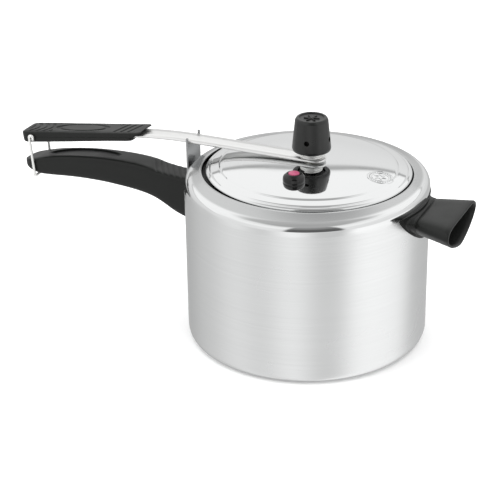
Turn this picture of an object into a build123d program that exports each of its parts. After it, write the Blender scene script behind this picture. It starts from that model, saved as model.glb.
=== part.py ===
"""Stovetop pressure cooker with an inside-closing lid, in millimetres.

The origin is the centre of the underside of the pot, +Z is up, +X points at the short helper
handle, and the long handle with its latching lever points along -X.
"""
from build123d import *
import math
import os

os.makedirs("parts", exist_ok=True)

# Pot
POT_R = 103.0
POT_WALL = 2.2
BASE_WALL = 2.6
BASE_CORNER = 8.0
WALL_TOP = 136.5
LIP_Z = 147.0
MOUTH_R = 88.2
RIVET_R = 2.4
RIVET_HOLE_R = 2.5

# Fulcrum bracket on the pot wall
POST_OUT_X = -106.8
POST_THICK = 1.6
POST_HALF = 12.1
POST_TOP = 162.4
FOOT_BOTTOM = 88.0
FOOT_TOP = 126.0
TONGUE_LENGTH = 28.0
TONGUE_HALF = 7.0
TONGUE_Z = 108.0
TONGUE_THICK = 3.0
BRACKET_RIVET_Z = (95.0, 120.0)

# Lever bar and its hinge line at the fork of the bracket
BAR_THICK = 2.0
BAR_HALF = 10.0
BAR_Z = 158.7
PIVOT_X = POST_OUT_X + POST_THICK / 2
BEND_RADIUS = 404.0
BEND_ANGLE = 8.5
BEND_END_X = PIVOT_X - BEND_RADIUS * math.sin(math.radians(BEND_ANGLE))
BEND_END_Z = BAR_Z - BEND_RADIUS * (1 - math.cos(math.radians(BEND_ANGLE)))
BAR_TIP_X = 16.5
BAR_HOLE_R = 5.5

# Lid, hung from the bar by the vent tube
LID_X = 2.0
VENT_X = 4.0
LID_TOP = 156.4
LID_WALL = 1.8
LID_R = 85.2
FLANGE_R = 93.0
FLANGE_Z = 137.6
TUBE_R = 4.25
THREAD_R = 4.9
TUBE_TOP = 176.0
STEAM_BORE_R = 1.4
SPRING_R = 6.6
SPRING_WIRE_R = 0.75
SPRING_BASE = BAR_Z + BAR_THICK / 2 + SPRING_WIRE_R + 0.03
SAFETY_X = 6.5
SAFETY_Y = -43.0
SAFETY_HOLE_R = 4.1

# Regulator
CAP_LOW_R = 15.8
CAP_TOP_R = 13.8
CAP_BOTTOM = 167.0
CAP_TOP = 194.8
WEIGHT_R = 12.0
NEEDLE_R = 2.0
CAP_HOLE_R = 2.2
CAP_HOLE_Z = 176.8
CAP_HOLE_TURN = -83.0

# Lever grip, measured along the straight end of the bar (u outwards, v square to it)
GRIP_START = -13.0
GRIP_END = 111.0
GRIP_HALF = 12.6
GRIP_SCREW_U = (22.0, 82.0)
SCREW_R = 1.5
BAIL_U = 98.0
BAIL_V = -2.4
WIRE_R = 1.2
BAIL_HALF = 14.6
BAIL_LOW = (-259.4, 103.4)

# Long handle sections: x, underside z, top z, half width, corner radius
HANDLE_SECTIONS = (
    (-106.9, 85.9, 125.4, 13.0, 4.0),
    (-122.0, 91.4, 125.8, 13.1, 4.0),
    (-138.0, 100.0, 127.6, 13.1, 4.5),
    (-155.0, 104.3, 130.6, 13.1, 5.0),
    (-175.0, 106.3, 131.2, 13.1, 5.0),
    (-198.0, 107.2, 130.2, 13.1, 5.0),
    (-222.0, 106.6, 127.6, 13.0, 5.0),
    (-244.0, 104.9, 123.8, 12.9, 5.0),
    (-256.0, 104.5, 120.6, 12.8, 4.5),
    (-265.0, 106.6, 117.8, 12.3, 4.0),
    (-271.0, 109.2, 115.8, 11.2, 3.0),
    (-275.0, 111.4, 114.2, 8.4, 1.2),
)
HANDLE_SCREW_X = -126.0

# Helper handle
HELPER_END_X = 136.6
HELPER_END_HALF = 38.0
HELPER_ROOT_HALF = 27.6
HELPER_TOP = 128.6
HELPER_LOW = 103.6
HELPER_WALL = 2.4
HELPER_ROOT_X = 105.2
HELPER_WEB_X = 112.4
STUD_Z = 119.0
STUD_BOSS_R = 5.0

POT_AXIS = Axis((0, 0, 0), (0, 0, 1))
LID_PLANE = Plane(origin=(LID_X, 0, 0), x_dir=(1, 0, 0), z_dir=(0, -1, 0))
LID_AXIS = Axis((LID_X, 0, 0), (0, 0, 1))
VENT_PLANE = Plane(origin=(VENT_X, 0, 0), x_dir=(1, 0, 0), z_dir=(0, -1, 0))
VENT_AXIS = Axis((VENT_X, 0, 0), (0, 0, 1))
SAFETY_PLANE = Plane(origin=(SAFETY_X, SAFETY_Y, 0), x_dir=(1, 0, 0), z_dir=(0, -1, 0))
SAFETY_AXIS = Axis((SAFETY_X, SAFETY_Y, 0), (0, 0, 1))
SLOPE = math.radians(BEND_ANGLE)
GRIP_PLANE = Plane(
    origin=(BEND_END_X, 0, BEND_END_Z),
    x_dir=(-math.cos(SLOPE), 0, -math.sin(SLOPE)),
    z_dir=(0, 1, 0),
)


def keep(builder, name):
    """Label one finished piece and write its STEP file."""
    builder.part.label = name
    export_step(builder.part, f"parts/{name}.step")


def grip_point(u, v):
    """World x and z of a point given along the grip."""
    point = GRIP_PLANE.from_local_coords((u, v, 0))
    return point.X, point.Z


# ---- pot body: spun aluminium shell with a rounded, inward-turned mouth
with BuildPart() as pot_body:
    with BuildSketch(Plane.XZ):
        with BuildLine():
            inner = POT_R - POT_WALL
            Line((0, 0), (POT_R - BASE_CORNER, 0))
            TangentArc((POT_R - BASE_CORNER, 0), (POT_R, BASE_CORNER), tangent=(1, 0))
            Line((POT_R, BASE_CORNER), (POT_R, WALL_TOP))
            Spline((POT_R, WALL_TOP), (99.4, 142.8), (90.2, LIP_Z), tangents=((0, 1), (-1, 0.1)))
            ThreePointArc((90.2, LIP_Z), (88.7, 146.6), (MOUTH_R, 145.4))
            Line((MOUTH_R, 145.4), (88.6, 144.8))
            Spline((88.6, 144.8), (97.6, 141.0), (inner, 136.0), tangents=((1, -0.15), (0, -1)))
            Line((inner, 136.0), (inner, BASE_WALL + 6))
            TangentArc((inner, BASE_WALL + 6), (inner - 6, BASE_WALL), tangent=(0, -1))
            Line((inner - 6, BASE_WALL), (0, BASE_WALL))
            Line((0, BASE_WALL), (0, 0))
        make_face()
    revolve(axis=POT_AXIS)
    with BuildSketch(Plane.YZ.offset(-POT_R - 5)):
        with Locations(*[(0, z) for z in BRACKET_RIVET_Z]):
            Circle(RIVET_HOLE_R)
    extrude(amount=20, mode=Mode.SUBTRACT)
    with BuildSketch(Plane.YZ.offset(POT_R - 15)):
        with Locations((0, STUD_Z)):
            Circle(3.1)
    extrude(amount=20, mode=Mode.SUBTRACT)
keep(pot_body, "pot_body")

# ---- fulcrum bracket: forked upright, saddle foot against the wall, tongue into the handle
with BuildPart() as fulcrum_bracket:
    with BuildSketch(Plane.YZ.offset(POST_OUT_X)):
        with Locations((0, (FOOT_BOTTOM + POST_TOP) / 2)):
            RectangleRounded(2 * POST_HALF, POST_TOP - FOOT_BOTTOM, 0.8)
        with Locations((0, POST_TOP)):
            Rectangle(2 * BAR_HALF + 0.8, 2 * (POST_TOP - BAR_Z + BAR_THICK / 2 + 0.3), mode=Mode.SUBTRACT)
    extrude(amount=POST_THICK)
    with BuildSketch(Plane.YZ.offset(POST_OUT_X)):
        with Locations((0, (FOOT_BOTTOM + FOOT_TOP) / 2)):
            Rectangle(2 * POST_HALF, FOOT_TOP - FOOT_BOTTOM)
    extrude(amount=8)
    with BuildSketch(Plane.XY.offset(FOOT_BOTTOM - 1)):
        Circle(POT_R + 0.02)
    extrude(amount=FOOT_TOP - FOOT_BOTTOM + 2, mode=Mode.SUBTRACT)
    with BuildSketch(Plane.YZ.offset(POST_OUT_X - TONGUE_LENGTH)):
        with Locations((0, TONGUE_Z)):
            Rectangle(2 * TONGUE_HALF, TONGUE_THICK)
    extrude(amount=TONGUE_LENGTH)
    with BuildSketch(Plane.XY.offset(TONGUE_Z - 5)):
        with Locations((HANDLE_SCREW_X, 0)):
            Circle(2.1)
    extrude(amount=10, mode=Mode.SUBTRACT)
    with BuildSketch(Plane.YZ.offset(POST_OUT_X - 1)):
        with Locations(*[(0, z) for z in BRACKET_RIVET_Z]):
            Circle(RIVET_HOLE_R)
    extrude(amount=10, mode=Mode.SUBTRACT)
keep(fulcrum_bracket, "fulcrum_bracket")

# ---- bracket rivets: domed heads inside the pot, flush with the outside of the bracket
with BuildPart() as bracket_rivets:
    for z in BRACKET_RIVET_Z:
        with BuildSketch(Plane(origin=(POST_OUT_X, 0, z), x_dir=(1, 0, 0), z_dir=(0, -1, 0))):
            with BuildLine():
                head = -POST_OUT_X - POT_R + POT_WALL + 0.2
                Polyline((head + 1.8, 0), (0, 0), (0, RIVET_R), (head, RIVET_R), (head, 4.4))
                TangentArc((head + 1.8, 0), (head, 4.4), tangent=(0, 1))
            make_face()
        revolve(axis=Axis((POST_OUT_X, 0, z), (1, 0, 0)))
keep(bracket_rivets, "bracket_rivets")

# ---- long handle: moulded phenolic, lofted through rounded sections
with BuildPart() as long_handle:
    for x, low, top, half, corner in HANDLE_SECTIONS:
        with BuildSketch(Plane(origin=(x, 0, (low + top) / 2), x_dir=(0, 1, 0), z_dir=(-1, 0, 0))):
            RectangleRounded(2 * half, top - low, corner)
    loft()
    with BuildSketch(Plane.YZ.offset(POST_OUT_X - TONGUE_LENGTH - 0.4)):
        with Locations((0, TONGUE_Z)):
            Rectangle(2 * TONGUE_HALF + 0.4, TONGUE_THICK + 0.4)
    extrude(amount=TONGUE_LENGTH + 2, mode=Mode.SUBTRACT)
    with BuildSketch(Plane.XY.offset(80)):
        with Locations((HANDLE_SCREW_X, 0)):
            Circle(4.6)
    extrude(amount=16, mode=Mode.SUBTRACT)
    with BuildSketch(Plane.XY.offset(90)):
        with Locations((HANDLE_SCREW_X, 0)):
            Circle(2.1)
    extrude(amount=26, mode=Mode.SUBTRACT)
keep(long_handle, "long_handle")

# ---- handle screw: up through the handle and the bracket tongue
with BuildPart() as handle_screw:
    with BuildSketch(Plane(origin=(HANDLE_SCREW_X, 0, 0), x_dir=(1, 0, 0), z_dir=(0, -1, 0))):
        with BuildLine():
            Polyline((0, 92.8), (3.6, 92.8), (4.3, 93.6), (4.3, 96), (2, 96), (2, 115), (0, 115), (0, 92.8))
        make_face()
    revolve(axis=Axis((HANDLE_SCREW_X, 0, 0), (0, 0, 1)))
    with BuildSketch(Plane.XY.offset(92.8)):
        with Locations((HANDLE_SCREW_X, 0)):
            Rectangle(6, 1)
    extrude(amount=1.2, mode=Mode.SUBTRACT)
keep(handle_screw, "handle_screw")

# ---- helper stud: riveted through the wall, tapped for the helper screw
with BuildPart() as helper_stud:
    with BuildSketch(Plane(origin=(0, 0, STUD_Z), x_dir=(1, 0, 0), z_dir=(0, -1, 0))):
        with BuildLine():
            face = POT_R - POT_WALL - 0.2
            Polyline((face, 3), (POT_R + 0.1, 3), (POT_R + 0.1, STUD_BOSS_R), (110, STUD_BOSS_R), (110, 1.9))
            Polyline((110, 1.9), (105.5, 1.9), (104.8, 0), (face - 1.8, 0))
            TangentArc((face - 1.8, 0), (face, 5.2), tangent=(0, 1))
            Line((face, 5.2), (face, 3))
        make_face()
    revolve(axis=Axis((0, 0, STUD_Z), (1, 0, 0)))
keep(helper_stud, "helper_stud")


def half_moon(half, top, low, corner=2.6):
    """Section of the helper handle: flat above, deep belly below, rounded tips."""
    with BuildSketch() as moon:
        with BuildLine():
            ThreePointArc((-half, top - 1.0), (0, top), (half, top - 1.0))
            ThreePointArc((half, top - 1.0), (0, low), (-half, top - 1.0))
        make_face()
        fillet(moon.vertices(), corner)
    return moon.sketch


# ---- helper handle: hollow moulded scoop, wider at its open end, with a flared pad on the wall
with BuildPart() as helper_handle:
    with BuildSketch(Plane.YZ.offset(90)):
        add(half_moon(42, 135, 100.5))
    with BuildSketch(Plane.YZ.offset(HELPER_ROOT_X)):
        add(half_moon(HELPER_ROOT_HALF + 0.6, HELPER_TOP + 0.2, HELPER_LOW - 0.2))
    loft()
    with BuildSketch(Plane.YZ.offset(HELPER_ROOT_X)):
        add(half_moon(HELPER_ROOT_HALF, HELPER_TOP, HELPER_LOW))
    with BuildSketch(Plane.YZ.offset(HELPER_END_X)):
        add(half_moon(HELPER_END_HALF, HELPER_TOP, HELPER_LOW))
    loft()
    with BuildSketch(Plane.YZ.offset(HELPER_WEB_X)):
        add(half_moon(HELPER_ROOT_HALF - 1.6, HELPER_TOP - HELPER_WALL, HELPER_LOW + HELPER_WALL, 1.2))
    with BuildSketch(Plane.YZ.offset(HELPER_END_X + 1)):
        add(half_moon(HELPER_END_HALF - 4.0, HELPER_TOP - HELPER_WALL, HELPER_LOW + HELPER_WALL, 1.2))
    loft(mode=Mode.SUBTRACT)
    with BuildSketch(Plane.XY.offset(80)):
        Circle(POT_R + 0.05)
    extrude(amount=80, mode=Mode.SUBTRACT)
    with BuildSketch(Plane.YZ.offset(POT_R - 10)):
        with Locations((0, STUD_Z)):
            Circle(STUD_BOSS_R + 0.1)
    extrude(amount=110.2 - POT_R + 10, mode=Mode.SUBTRACT)
    with BuildSketch(Plane.YZ.offset(POT_R)):
        with Locations((0, STUD_Z)):
            Circle(2.1)
    extrude(amount=12, mode=Mode.SUBTRACT)
keep(helper_handle, "helper_handle")

# ---- helper screw: pan head inside the scoop
with BuildPart() as helper_screw:
    with BuildSketch(Plane(origin=(0, 0, STUD_Z), x_dir=(1, 0, 0), z_dir=(0, -1, 0))):
        with BuildLine():
            Polyline((106.2, 0), (106.2, 1.85), (HELPER_WEB_X, 1.85), (HELPER_WEB_X, 4.2), (114.2, 4.2))
            ThreePointArc((114.2, 4.2), (114.9, 2.4), (115.1, 0))
            Line((115.1, 0), (106.2, 0))
        make_face()
    revolve(axis=Axis((0, 0, STUD_Z), (1, 0, 0)))
    with BuildSketch(Plane.YZ.offset(114.0)):
        with Locations((0, STUD_Z)):
            Rectangle(6, 1)
            Rectangle(1, 6)
    extrude(amount=2, mode=Mode.SUBTRACT)
keep(helper_screw, "helper_screw")

# ---- lever bar: flat spring steel, level over the lid and bowed down into the grip
with BuildPart() as lever_bar:
    with BuildSketch(Plane.XZ.offset(-BAR_HALF)):
        with BuildLine():
            tail = grip_point(107.0, 0)
            Line((BAR_TIP_X, BAR_Z), (PIVOT_X, BAR_Z))
            TangentArc((PIVOT_X, BAR_Z), (BEND_END_X, BEND_END_Z), tangent=(-1, 0))
            Line((BEND_END_X, BEND_END_Z), tail)
            offset(amount=BAR_THICK / 2, kind=Kind.INTERSECTION)
        make_face()
    extrude(amount=2 * BAR_HALF)
    with BuildSketch(Plane.XY.offset(100)):
        with Locations(((tail[0] + BAR_TIP_X) / 2, 0)):
            SlotOverall(BAR_TIP_X - tail[0], 2 * BAR_HALF)
    extrude(amount=100, mode=Mode.INTERSECT)
    with BuildSketch(Plane.XY.offset(150)):
        with Locations((VENT_X, 0)):
            Circle(BAR_HOLE_R)
    extrude(amount=20, mode=Mode.SUBTRACT)
    with BuildSketch(Plane.XZ.offset(-BAR_HALF)):
        with BuildLine():
            Polyline((12, 157.7), (BAR_TIP_X + 1, 157.7), (BAR_TIP_X + 1, 158.5), (12, 157.7))
        make_face()
    extrude(amount=2 * BAR_HALF, mode=Mode.SUBTRACT)
    with BuildSketch(Plane(GRIP_PLANE.origin, x_dir=GRIP_PLANE.x_dir, z_dir=GRIP_PLANE.y_dir).offset(-5)):
        with Locations(*[(u, 0) for u in GRIP_SCREW_U]):
            Circle(SCREW_R + 0.15)
    extrude(amount=10, mode=Mode.SUBTRACT)
keep(lever_bar, "lever_bar")


def grip_half(side, skin_start, skin_end):
    """One moulded half of the grip; side is +1 above the bar and -1 below it."""
    with BuildPart() as shell:
        with BuildSketch(GRIP_PLANE.offset(-GRIP_HALF)):
            with BuildLine():
                Polyline((GRIP_START, 0), (GRIP_START, side * skin_start), (8, side * (skin_start + 0.4)))
                Line((8, side * (skin_start + 0.4)), (GRIP_END - 3, side * skin_end))
                TangentArc((GRIP_END - 3, side * skin_end), (GRIP_END, side * 0.6), tangent=(1, 0))
                Polyline((GRIP_END, side * 0.6), (GRIP_END, 0), (GRIP_START, 0))
            make_face()
        extrude(amount=2 * GRIP_HALF)
        with BuildSketch(GRIP_PLANE.offset(-BAR_HALF - 0.1)):
            with Locations((50, 0)):
                Rectangle(116.8, BAR_THICK + 0.1)
            with Locations((-20, 0)):
                Rectangle(60, BAR_THICK + 1.6)
        extrude(amount=2 * BAR_HALF + 0.2, mode=Mode.SUBTRACT)
    return shell.part


UP_PLANE = Plane(GRIP_PLANE.origin, x_dir=GRIP_PLANE.x_dir, z_dir=GRIP_PLANE.y_dir)

# ---- upper grip half: its nose runs further along the bar than the lower half
with BuildPart() as grip_upper:
    add(grip_half(1, 4.2, 5.4))
    with BuildSketch(UP_PLANE.offset(-1)):
        with Locations(((GRIP_START + GRIP_END) / 2, 0)):
            RectangleRounded(GRIP_END - GRIP_START, 2 * GRIP_HALF, 5)
    extrude(amount=12, mode=Mode.INTERSECT)
    with BuildSketch(UP_PLANE.offset(0.5)):
        with Locations(*[(u, 0) for u in GRIP_SCREW_U]):
            Circle(SCREW_R + 0.02)
    extrude(amount=2.6, mode=Mode.SUBTRACT)
keep(grip_upper, "grip_upper")

# ---- lower grip half: carries the screws and the bail's pivot holes
with BuildPart() as grip_lower:
    add(grip_half(-1, 3.4, 5.3))
    with BuildSketch(UP_PLANE.offset(-12)):
        with Locations(((GRIP_START + GRIP_END) / 2 + 4, 0)):
            RectangleRounded(GRIP_END - GRIP_START - 8, 2 * GRIP_HALF, 5)
    extrude(amount=13, mode=Mode.INTERSECT)
    with BuildSketch(UP_PLANE.offset(-8)):
        with Locations(*[(u, 0) for u in GRIP_SCREW_U]):
            Circle(SCREW_R + 0.1)
    extrude(amount=8, mode=Mode.SUBTRACT)
    with BuildSketch(UP_PLANE.offset(-8)):
        with Locations(*[(u, 0) for u in GRIP_SCREW_U]):
            Circle(3.2)
    extrude(amount=5.6, mode=Mode.SUBTRACT)
    with BuildSketch(GRIP_PLANE.offset(-GRIP_HALF - 1)):
        with Locations((BAIL_U, BAIL_V)):
            Circle(WIRE_R + 0.05)
    extrude(amount=2 * GRIP_HALF + 2, mode=Mode.SUBTRACT)
keep(grip_lower, "grip_lower")

# ---- grip screws: up through the lower half and the bar into the upper half
with BuildPart() as grip_screws:
    for u in GRIP_SCREW_U:
        x, z = grip_point(u, 0)
        plane = Plane(origin=(x, 0, z), x_dir=GRIP_PLANE.x_dir, z_dir=(0, 1, 0))
        with BuildSketch(plane):
            with BuildLine():
                Polyline((0, 2.9), (SCREW_R, 2.9), (SCREW_R, -2.4), (2.9, -2.4), (2.9, -3.2), (2.2, -3.6))
                Polyline((2.2, -3.6), (0, -3.6), (0, 2.9))
            make_face()
        revolve(axis=Axis((x, 0, z), GRIP_PLANE.y_dir))
keep(grip_screws, "grip_screws")

# ---- bail: bent wire, its ends sprung into the grip and its bar under the long handle
with BuildPart() as bail:
    px, pz = grip_point(BAIL_U, BAIL_V)
    with BuildLine() as wire:
        FilletPolyline(
            (px, -10.6, pz),
            (px, -BAIL_HALF, pz),
            (BAIL_LOW[0], -BAIL_HALF, BAIL_LOW[1]),
            (BAIL_LOW[0], BAIL_HALF, BAIL_LOW[1]),
            (px, BAIL_HALF, pz),
            (px, 10.6, pz),
            radius=(1.6, 4.0, 4.0, 1.6),
        )
    with BuildSketch(Plane(origin=(px, -10.6, pz), z_dir=(0, -1, 0))):
        Circle(WIRE_R)
    sweep(path=wire.wires()[0])
keep(bail, "bail")

# ---- lid disc: pressed aluminium with a mirror dome, a stepped ring and a seal flange below
with BuildPart() as lid_disc:
    with BuildSketch(LID_PLANE):
        with BuildLine():
            Spline((0, LID_TOP), (30, 156.0), (55, 154.1), (79.2, 151.2), tangents=((1, 0), (1, -0.15)))
            ThreePointArc((79.2, 151.2), (80.3, 150.7), (80.8, 149.6))
            ThreePointArc((80.8, 149.6), (81.2, 148.8), (82.0, 148.5))
            TangentArc((82.0, 148.5), (LID_R, 145.6), tangent=(1, 0))
            Line((LID_R, 145.6), (LID_R, FLANGE_Z + 1.6))
            TangentArc((LID_R, FLANGE_Z + 1.6), (LID_R + 1.6, FLANGE_Z), tangent=(0, -1))
            Polyline((LID_R + 1.6, FLANGE_Z), (FLANGE_R, FLANGE_Z), (FLANGE_R, FLANGE_Z - LID_WALL))
            Line((FLANGE_R, FLANGE_Z - LID_WALL), (LID_R + 1.2, FLANGE_Z - LID_WALL))
            TangentArc((LID_R + 1.2, FLANGE_Z - LID_WALL), (LID_R - LID_WALL, FLANGE_Z + 1.2), tangent=(-1, 0))
            Line((LID_R - LID_WALL, FLANGE_Z + 1.2), (LID_R - LID_WALL, 145.2))
            Line((LID_R - LID_WALL, 145.2), (81.4, 146.8))
            Polyline((81.4, 146.8), (79.4, 148.2), (78.6, 149.4))
            Spline((78.6, 149.4), (55, 152.3), (30, 154.2), (0, 154.6), tangents=((-1, 0.15), (-1, 0)))
            Line((0, 154.6), (0, LID_TOP))
        make_face()
    revolve(axis=LID_AXIS)
    with BuildSketch(Plane.XY.offset(145)):
        with Locations((VENT_X, 0)):
            Circle(THREAD_R + 0.1)
        with Locations((SAFETY_X, SAFETY_Y)):
            Circle(SAFETY_HOLE_R)
    extrude(amount=20, mode=Mode.SUBTRACT)
keep(lid_disc, "lid_disc")

# ---- gasket: moulded rubber ring on the flange, under the lip of the pot
with BuildPart() as gasket:
    with BuildSketch(LID_PLANE):
        with BuildLine():
            Line((LID_R + 1.7, FLANGE_Z + 0.05), (93.2, FLANGE_Z + 0.05))
            Line((93.2, FLANGE_Z + 0.05), (93.2, 140.6))
            ThreePointArc((93.2, 140.6), (92.4, 142.0), (90.6, 142.9))
            Polyline((90.6, 142.9), (LID_R + 0.05, 142.9), (LID_R + 0.05, 139.3), (LID_R + 1.7, FLANGE_Z + 0.05))
        make_face()
    revolve(axis=LID_AXIS)
keep(gasket, "gasket")

# ---- vent tube: turned brass, threaded below the lid and bored for the steam
with BuildPart() as vent_tube:
    with BuildSketch(VENT_PLANE):
        with BuildLine():
            Polyline((STEAM_BORE_R, 147), (THREAD_R - 0.5, 147), (THREAD_R, 147.6), (THREAD_R, 156.45),
                     (6.0, 156.45), (6.0, 157.0), (TUBE_R, 157.0), (TUBE_R, TUBE_TOP - 2),
                     (3.0, TUBE_TOP), (STEAM_BORE_R, TUBE_TOP), (STEAM_BORE_R, 147))
        make_face()
    revolve(axis=VENT_AXIS)
keep(vent_tube, "vent_tube")

# ---- vent seal: rubber washer under the lid
with BuildPart() as vent_seal:
    with BuildSketch(Plane.XY.offset(153.0)):
        with Locations((VENT_X, 0)):
            Circle(9)
            Circle(THREAD_R + 0.05, mode=Mode.SUBTRACT)
    extrude(amount=1.45)
keep(vent_seal, "vent_seal")

# ---- vent nut: clamps the tube and its washer to the lid
with BuildPart() as vent_nut:
    with BuildSketch(Plane.XY.offset(149.0)):
        with Locations((VENT_X, 0)):
            RegularPolygon(8.1, 6)
            Circle(THREAD_R + 0.05, mode=Mode.SUBTRACT)
    extrude(amount=4.0)
    chamfer(vent_nut.edges().group_by(Axis.Z)[0].filter_by(GeomType.LINE), 0.5)
keep(vent_nut, "vent_nut")

# ---- bar spring: short coil that sits on the bar round the vent tube
with BuildPart() as bar_spring:
    with BuildLine() as coil:
        Helix(pitch=1.75, height=5.2, radius=SPRING_R, center=(VENT_X, 0, SPRING_BASE))
    with BuildSketch(Plane(origin=coil.edges()[0] @ 0, z_dir=coil.edges()[0] % 0)):
        Circle(SPRING_WIRE_R)
    sweep(path=coil.wires()[0], is_frenet=True)
keep(bar_spring, "bar_spring")

# ---- safety valve: rubber plug buttoned through the lid
with BuildPart() as safety_plug:
    with BuildSketch(SAFETY_PLANE):
        with BuildLine():
            Polyline((1.7, 149.6), (7.0, 149.6), (7.0, 152.2), (4.0, 152.6), (4.0, 155.9), (8.6, 155.9))
            ThreePointArc((8.6, 155.9), (9.1, 156.6), (9.0, 157.6))
            ThreePointArc((9.0, 157.6), (7.6, 160.6), (5.3, 162.0))
            Polyline((5.3, 162.0), (5.1, 159.8), (1.7, 159.8), (1.7, 149.6))
        make_face()
    revolve(axis=SAFETY_AXIS)
keep(safety_plug, "safety_plug")

# ---- relief pin: coloured button whose stem runs through the plug
with BuildPart() as relief_pin:
    with BuildSketch(SAFETY_PLANE):
        with BuildLine():
            Polyline((0, 146.4), (1.6, 146.4), (1.6, 160.0), (4.8, 160.0), (4.8, 161.6))
            TangentArc((0, 162.8), (4.8, 161.6), tangent=(1, 0))
            Line((0, 162.8), (0, 146.4))
        make_face()
    revolve(axis=SAFETY_AXIS)
keep(relief_pin, "relief_pin")

# ---- pin clip: snap washer that stops the relief pin from leaving the plug
with BuildPart() as pin_clip:
    with BuildSketch(Plane.XY.offset(145.6)):
        with Locations((SAFETY_X, SAFETY_Y)):
            Circle(3.6)
    extrude(amount=0.8)
keep(pin_clip, "pin_clip")

# ---- regulator needle: brass cone that closes the top of the vent tube
with BuildPart() as regulator_needle:
    with BuildSketch(VENT_PLANE):
        with BuildLine():
            Polyline((0, 174.8), (0.3, 174.8), (NEEDLE_R, 177.0), (NEEDLE_R, 183.0), (0, 183.0), (0, 174.8))
        make_face()
    revolve(axis=VENT_AXIS)
keep(regulator_needle, "regulator_needle")

# ---- regulator weight: turned steel slug that rides on the tube
with BuildPart() as regulator_weight:
    with BuildSketch(VENT_PLANE):
        with BuildLine():
            Polyline((TUBE_R + 0.1, 168.0), (WEIGHT_R - 0.8, 168.0), (WEIGHT_R, 168.8), (WEIGHT_R, 187.5),
                     (0, 187.5), (0, 183.2), (NEEDLE_R + 0.05, 183.2), (NEEDLE_R + 0.05, 177.6),
                     (TUBE_R + 0.1, 177.2), (TUBE_R + 0.1, 168.0))
        make_face()
    revolve(axis=VENT_AXIS)
keep(regulator_weight, "regulator_weight")

# ---- regulator cap: moulded thermoset cover with four steam holes and a dished top
with BuildPart() as regulator_cap:
    with BuildSketch(VENT_PLANE):
        with BuildLine():
            Polyline((WEIGHT_R + 0.05, CAP_BOTTOM), (CAP_LOW_R - 0.7, CAP_BOTTOM))
            TangentArc((CAP_LOW_R - 0.7, CAP_BOTTOM), (CAP_LOW_R, CAP_BOTTOM + 0.8), tangent=(1, 0))
            Line((CAP_LOW_R, CAP_BOTTOM + 0.8), (CAP_TOP_R, CAP_TOP - 2.4))
            TangentArc((11.0, CAP_TOP), (CAP_TOP_R, CAP_TOP - 2.4), tangent=(1, 0))
            Polyline((11.0, CAP_TOP), (10.4, CAP_TOP), (10.1, CAP_TOP - 0.8))
            TangentArc((0, CAP_TOP - 0.2), (10.1, CAP_TOP - 0.8), tangent=(1, 0))
            Polyline((0, CAP_TOP - 0.2), (0, 187.6), (WEIGHT_R + 0.05, 187.6), (WEIGHT_R + 0.05, CAP_BOTTOM))
        make_face()
    revolve(axis=VENT_AXIS)
    for quarter in range(4):
        turn = math.radians(CAP_HOLE_TURN + 90 * quarter)
        outward = (math.cos(turn), math.sin(turn), 0)
        with BuildSketch(Plane(origin=(VENT_X, 0, CAP_HOLE_Z), z_dir=outward).offset(WEIGHT_R + 0.02)):
            Circle(CAP_HOLE_R)
        extrude(amount=8, mode=Mode.SUBTRACT)
keep(regulator_cap, "regulator_cap")
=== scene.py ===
import math

import bmesh
import bpy
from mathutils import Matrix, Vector


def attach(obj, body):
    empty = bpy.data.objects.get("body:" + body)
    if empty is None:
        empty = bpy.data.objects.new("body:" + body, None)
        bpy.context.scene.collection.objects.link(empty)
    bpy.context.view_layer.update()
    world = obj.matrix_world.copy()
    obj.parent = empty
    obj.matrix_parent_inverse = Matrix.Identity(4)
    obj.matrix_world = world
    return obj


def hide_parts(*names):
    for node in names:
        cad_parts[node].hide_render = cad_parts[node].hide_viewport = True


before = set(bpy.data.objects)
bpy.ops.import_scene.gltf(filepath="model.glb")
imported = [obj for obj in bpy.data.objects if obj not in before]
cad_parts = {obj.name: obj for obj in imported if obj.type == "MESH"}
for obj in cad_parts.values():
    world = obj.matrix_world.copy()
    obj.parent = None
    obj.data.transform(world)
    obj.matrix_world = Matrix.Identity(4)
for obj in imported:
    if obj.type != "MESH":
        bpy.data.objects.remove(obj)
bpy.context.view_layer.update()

# ---------------------------------------------------------------------------------------------
# Studio: a white floor and a white room whose walls are brighter and darker in broad bands.
# Polished metal shows little of its own colour, so these bands are what give the pot its form.
# The camera looks down at the cooker from the front right, along a long lens.
MM = 0.001
CAMERA_AT = Vector((0.4752, -1.1343, 0.6767))
LOOK = Vector((-0.3793, 0.8135, -0.4409))
ROLL = math.radians(-0.85)


def linear(hex_colour):
    """An sRGB hex colour as a linear RGBA tuple."""
    channels = [int(hex_colour[i:i + 2], 16) / 255 for i in (1, 3, 5)]
    return tuple(c / 12.92 if c <= 0.04045 else ((c + 0.055) / 1.055) ** 2.4 for c in channels) + (1.0,)


def node(tree, kind, links=None, **settings):
    """Add a node to a tree; links feed its inputs by name or number, settings set inputs or properties."""
    made = tree.nodes.new(kind)
    for key, value in settings.items():
        if hasattr(made, key):
            setattr(made, key, value)
        else:
            made.inputs[key.replace("_", " ")].default_value = value
    for key, source in (links or {}).items():
        if isinstance(source, (int, float, tuple)):
            made.inputs[key].default_value = source
        else:
            tree.links.new(source, made.inputs[key])
    return made


def ramp(tree, factor, stops):
    """A colour ramp of (position, grey level) stops fed by factor."""
    made = node(tree, "ShaderNodeValToRGB", {0: factor})
    made.color_ramp.interpolation = "EASE"
    while len(made.color_ramp.elements) < len(stops):
        made.color_ramp.elements.new(1.0)
    for element, (position, level) in zip(made.color_ramp.elements, stops):
        element.position = position
        element.color = (level, level, level, 1)
    return made.outputs[0]


world = bpy.data.worlds.new("studio_room")
bpy.context.scene.world = world
world.use_nodes = True
sky = world.node_tree
sky.nodes.clear()


def math_node(tree, operation, a, b=0.0):
    """The result of one sum on one or two values."""
    return node(tree, "ShaderNodeMath", {0: a, 1: b}, operation=operation).outputs[0]


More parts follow.
